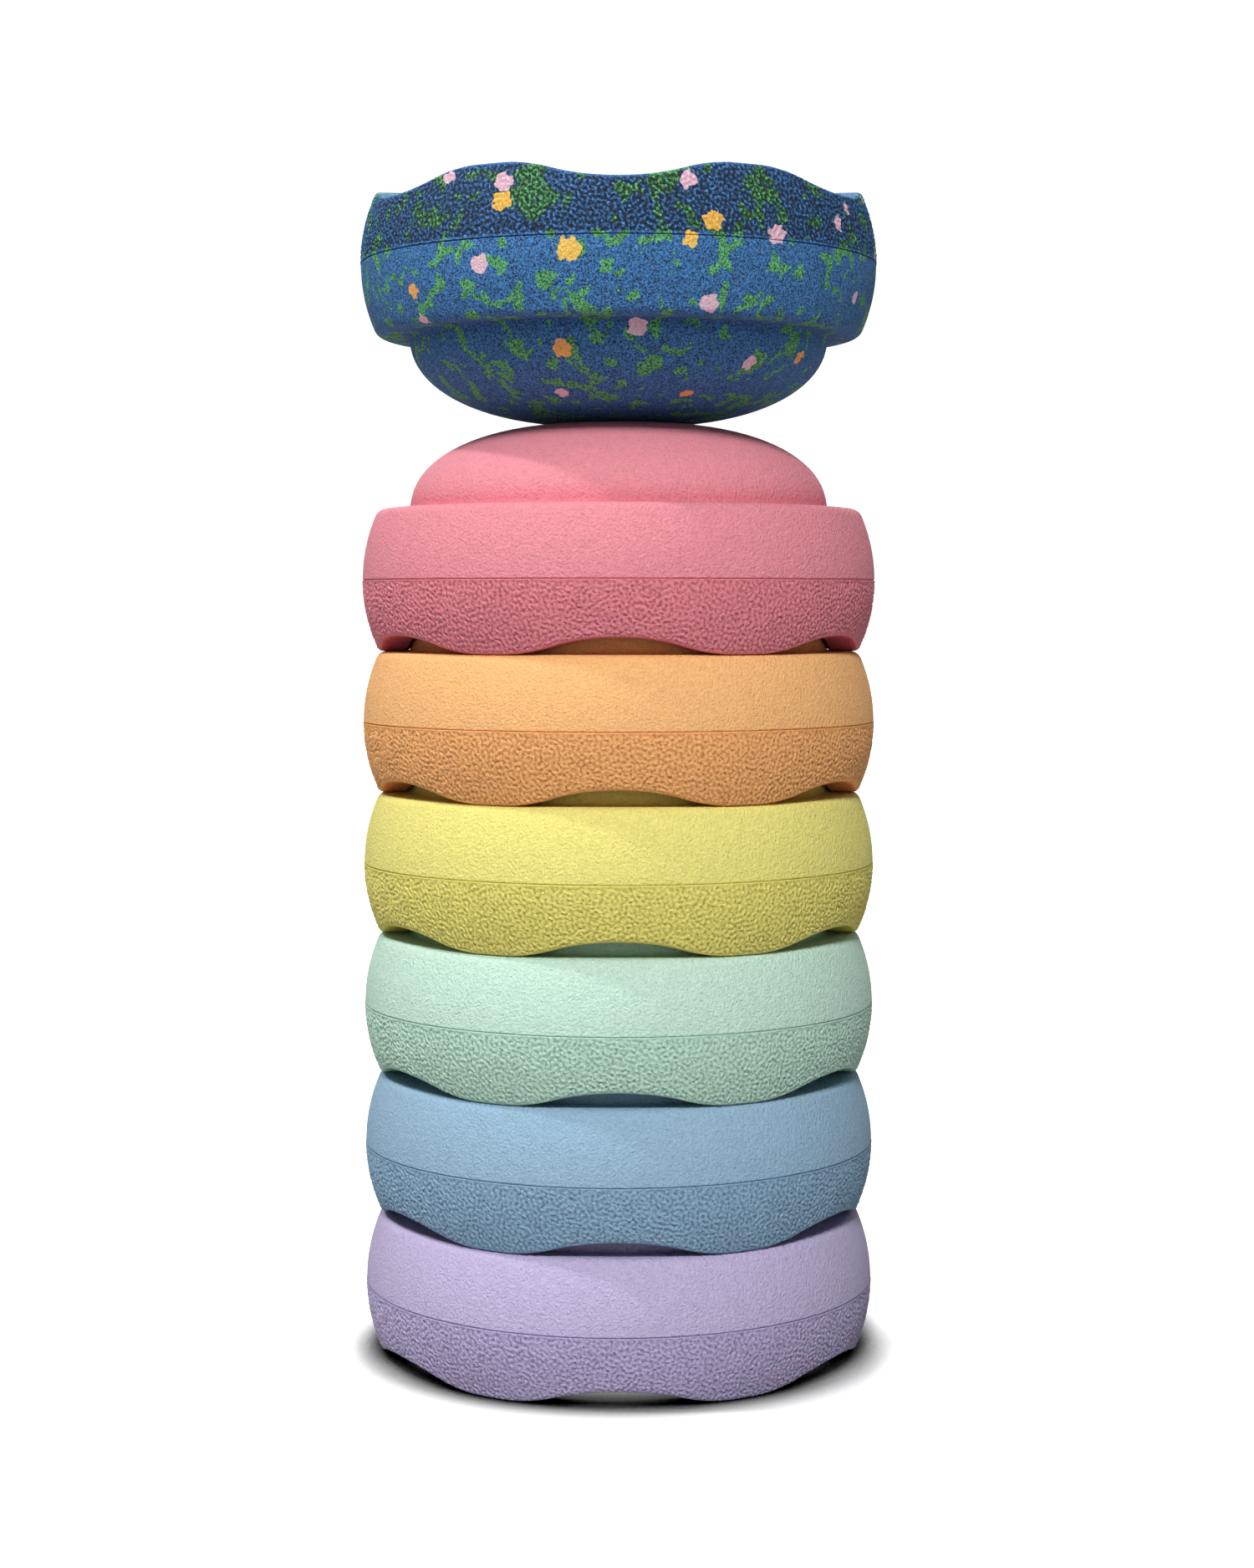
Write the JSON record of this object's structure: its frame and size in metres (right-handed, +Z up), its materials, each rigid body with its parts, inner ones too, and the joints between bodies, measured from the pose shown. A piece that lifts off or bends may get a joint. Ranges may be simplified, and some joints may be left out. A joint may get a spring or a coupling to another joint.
{
  "type": "stacking stone tower",
  "caption": "Tower of nesting hat-shaped foam balance stones with wavy rims, the top one turned over and balanced dome to dome.",
  "frame": {"origin": "middle of the tower on the surface that it stands on, level with the feet of the bottom stone", "axes": "+Z up the tower's axis, +Y towards its back, -Y towards the viewer with an arch of every rim in the middle"},
  "size_m": [0.275, 0.275, 0.619],
  "materials": {
    "lilac_foam": "one-colour moulded expanded polypropylene bead foam, matt, fine grain above the parting line and a coarse wrinkled grain below it",
    "blue_foam": "one-colour moulded expanded polypropylene bead foam, matt, fine grain above the parting line and a coarse wrinkled grain below it",
    "mint_foam": "one-colour moulded expanded polypropylene bead foam, matt, fine grain above the parting line and a coarse wrinkled grain below it",
    "yellow_foam": "one-colour moulded expanded polypropylene bead foam, matt, fine grain above the parting line and a coarse wrinkled grain below it",
    "orange_foam": "one-colour moulded expanded polypropylene bead foam, matt, fine grain above the parting line and a coarse wrinkled grain below it",
    "pink_foam": "one-colour moulded expanded polypropylene bead foam, matt, fine grain above the parting line and a coarse wrinkled grain below it",
    "speckled_foam": "dark blue moulded expanded polypropylene bead foam with green, pale pink, yellow and orange foam chips moulded in, matt, coarse wrinkled grain on the half nearer the rim"
  },
  "bodies": {
    "lilac_stone": {"lilac_stone": "lilac_foam"},
    "blue_stone": {"blue_stone": "blue_foam"},
    "mint_stone": {"mint_stone": "mint_foam"},
    "yellow_stone": {"yellow_stone": "yellow_foam"},
    "orange_stone": {"orange_stone": "orange_foam"},
    "pink_stone": {"pink_stone": "pink_foam"},
    "speckled_stone": {"speckled_stone": "speckled_foam"}
  },
  "joints": [
    {"name": "blue_lift", "type": "slide", "parent": "lilac_stone", "child": "blue_stone", "axis": [0, 0, 1], "range_m": [0, 0.06]},
    {"name": "mint_lift", "type": "slide", "parent": "blue_stone", "child": "mint_stone", "axis": [0, 0, 1], "range_m": [0, 0.06]},
    {"name": "yellow_lift", "type": "slide", "parent": "mint_stone", "child": "yellow_stone", "axis": [0, 0, 1], "range_m": [0, 0.06]},
    {"name": "orange_lift", "type": "slide", "parent": "yellow_stone", "child": "orange_stone", "axis": [0, 0, 1], "range_m": [0, 0.06]},
    {"name": "pink_lift", "type": "slide", "parent": "orange_stone", "child": "pink_stone", "axis": [0, 0, 1], "range_m": [0, 0.06]},
    {"name": "speckled_lift", "type": "slide", "parent": "pink_stone", "child": "speckled_stone", "axis": [0, 0, 1], "range_m": [0, 0.06]}
  ]
}
